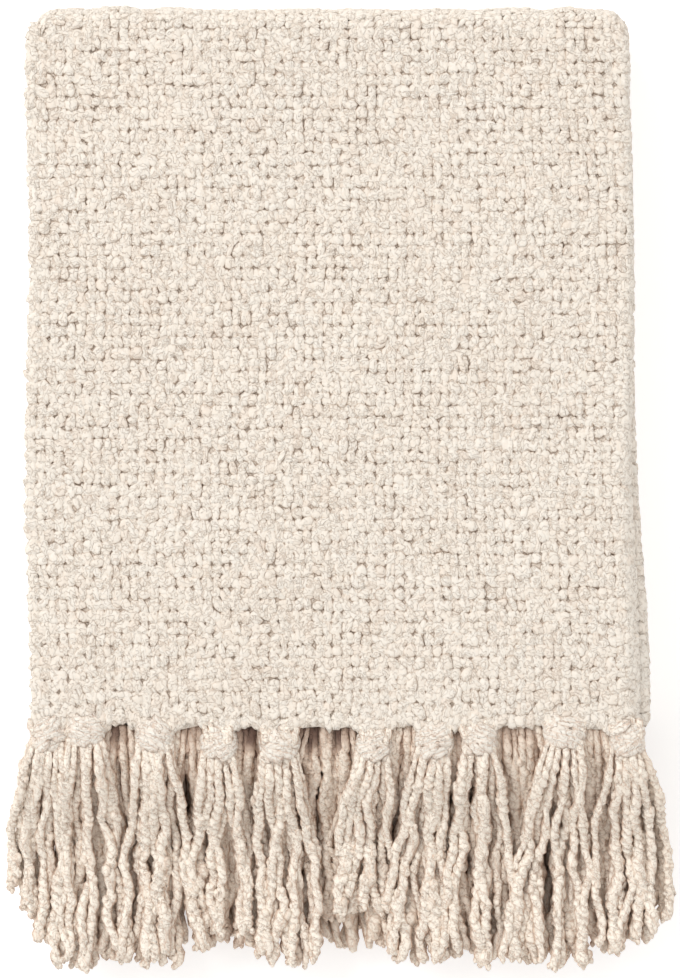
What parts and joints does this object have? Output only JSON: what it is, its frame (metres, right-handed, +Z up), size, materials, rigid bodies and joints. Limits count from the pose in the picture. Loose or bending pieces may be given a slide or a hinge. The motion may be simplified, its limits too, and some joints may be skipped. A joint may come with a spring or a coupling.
{
  "type": "boucle throw",
  "caption": "Cream boucle throw with knotted tassel fringe, folded back and forth both ways into a flat stack that lies on a shelf, bed or seat.",
  "frame": {"origin": "middle of the folded cloth's underside, on the surface that it lies on", "axes": "+Z up from the surface, -Y out along the fringe from the cloth's two ends, +X to the right as seen from above with the fringe nearest"},
  "size_m": [0.3594, 0.5107, 0.0787],
  "materials": {
    "boucle_cloth": "matte, nubby",
    "boucle_fringe": "matte, twisted yarn"
  },
  "bodies": {
    "root": {"cloth": "boucle_cloth", "fringe_lower_1": "boucle_fringe", "fringe_lower_2": "boucle_fringe", "fringe_lower_3": "boucle_fringe", "fringe_lower_4": "boucle_fringe", "fringe_upper_3": "boucle_fringe", "fringe_upper_4": "boucle_fringe", "tassel_front_01": "boucle_fringe", "tassel_front_02": "boucle_fringe", "tassel_front_03": "boucle_fringe", "tassel_front_04": "boucle_fringe", "tassel_front_05": "boucle_fringe", "tassel_front_06": "boucle_fringe", "tassel_front_07": "boucle_fringe", "tassel_front_08": "boucle_fringe", "tassel_front_09": "boucle_fringe", "tassel_front_10": "boucle_fringe", "tassel_second_01": "boucle_fringe", "tassel_second_02": "boucle_fringe", "tassel_second_03": "boucle_fringe", "tassel_second_04": "boucle_fringe", "tassel_second_05": "boucle_fringe", "tassel_second_06": "boucle_fringe", "tassel_second_07": "boucle_fringe", "tassel_second_08": "boucle_fringe", "tassel_second_09": "boucle_fringe"}
  },
  "joints": []
}
